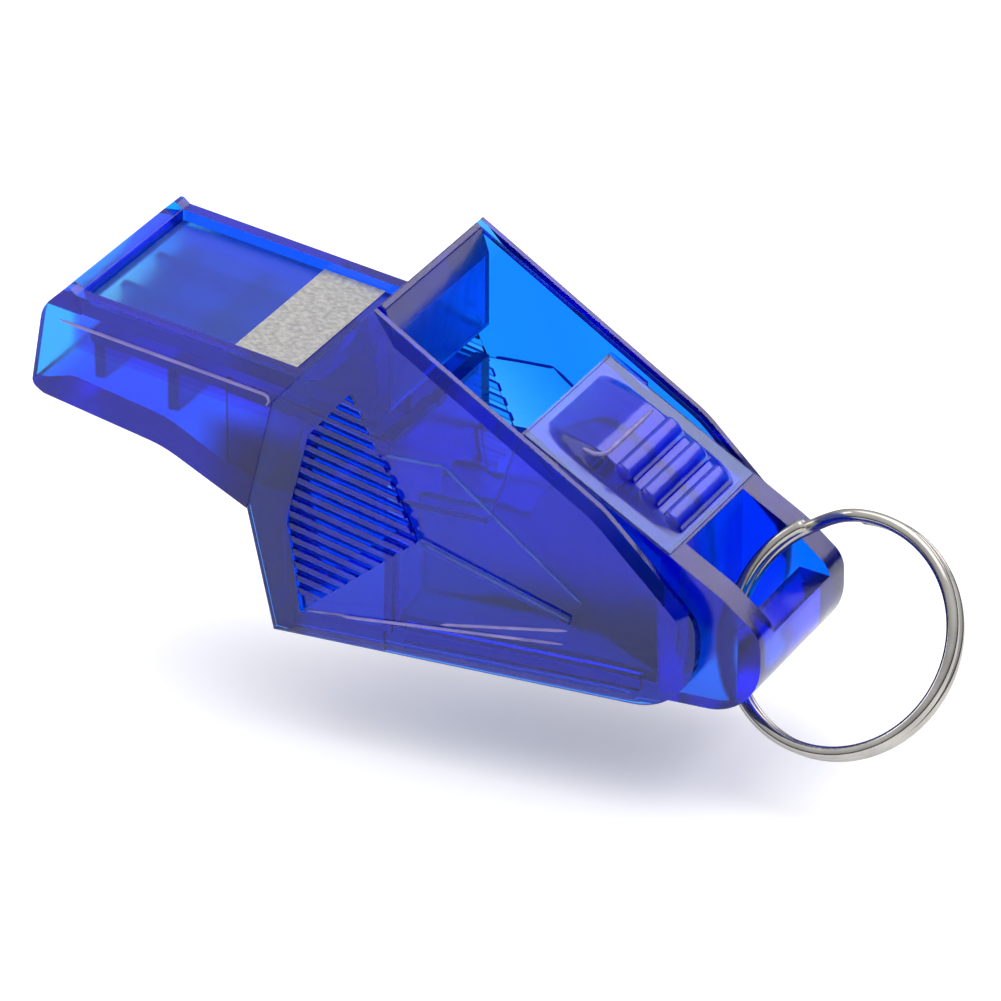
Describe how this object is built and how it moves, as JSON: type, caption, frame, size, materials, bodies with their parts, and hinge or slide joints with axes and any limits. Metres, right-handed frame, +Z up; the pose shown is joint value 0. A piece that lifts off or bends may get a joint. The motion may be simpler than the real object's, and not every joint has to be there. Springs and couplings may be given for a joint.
{
  "type": "training whistle",
  "caption": "Pealess moulded training whistle with a flat mouthpiece, open finned hood, thumb pad and a split ring through the lanyard loop.",
  "frame": {"origin": "on the flat base, on the plane of symmetry, near the front edge of the base", "axes": "+X from the mouthpiece to the ring, +Y to the whistle's left side, +Z up from the base"},
  "size_m": [0.0753, 0.0208, 0.0331],
  "materials": {
    "blue_core": "clear tinted, moulded",
    "blue_shell": "clear tinted, moulded",
    "foil": "brushed foil",
    "ring_steel": "nickel plated"
  },
  "bodies": {
    "whistle": {"core_body": "blue_core", "mouthpiece_lid": "blue_core", "windway_block": "blue_core", "hood_front": "blue_core", "left_side_shell": "blue_shell", "right_side_shell": "blue_shell", "bridge_pad": "blue_core", "base_cover": "blue_core", "chamber_insert": "blue_core", "foil_label": "foil"},
    "ring": {"split_ring": "ring_steel"}
  },
  "joints": [
    {"name": "ring_swing", "type": "hinge", "parent": "whistle", "child": "ring", "pos_m": [0.0387, 0, 0.0036], "axis": [0, 1, 0], "range_deg": [-35, 40]}
  ]
}
